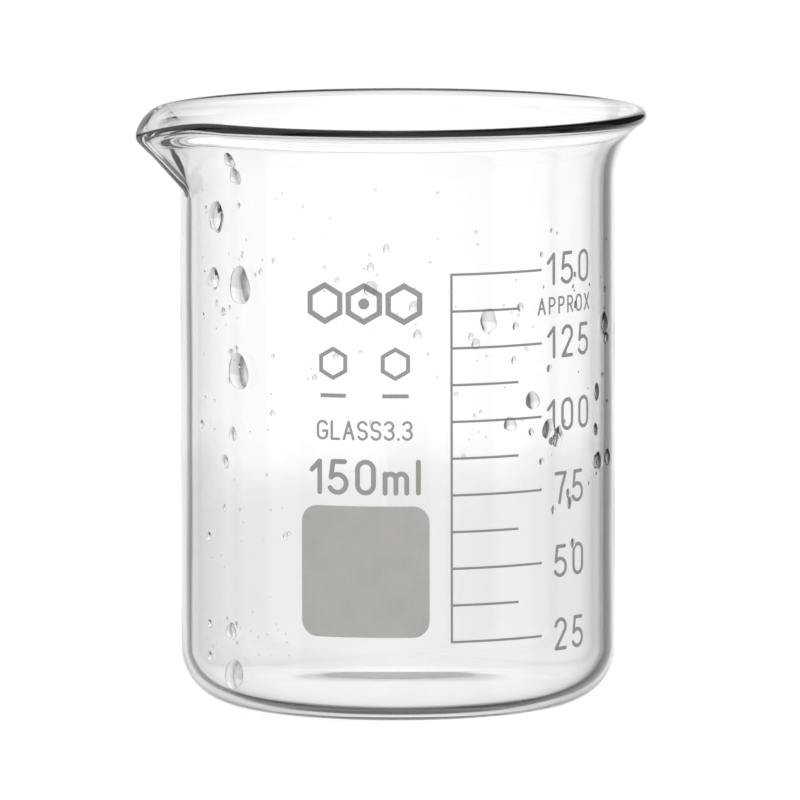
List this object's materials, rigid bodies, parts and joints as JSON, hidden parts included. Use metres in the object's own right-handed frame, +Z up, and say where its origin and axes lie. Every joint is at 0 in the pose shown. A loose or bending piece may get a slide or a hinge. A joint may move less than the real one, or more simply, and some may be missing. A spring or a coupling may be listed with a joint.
{
  "type": "beaker",
  "caption": "Low-form laboratory beaker in clear borosilicate glass with flared fire-polished rim, pouring spout and grey fired-enamel volume scale.",
  "frame": {"origin": "centre of the flat base, on the plane that the beaker stands on", "axes": "+Z up along the beaker's axis, spout along -X, volume scale's stem on the -Y side"},
  "size_m": [0.0713, 0.0688, 0.082],
  "materials": {
    "glass": "clear, fire-polished",
    "enamel": "matt fired enamel, warm grey"
  },
  "bodies": {
    "root": {"glass_vessel": "glass", "graduation_scale": "enamel", "numeral_25": "enamel", "numeral_50": "enamel", "numeral_75": "enamel", "numeral_100": "enamel", "numeral_125": "enamel", "numeral_150": "enamel", "approx_mark": "enamel", "capacity_mark": "enamel", "glass_grade_mark": "enamel", "writing_patch": "enamel", "decorative_mark": "enamel"}
  },
  "joints": []
}
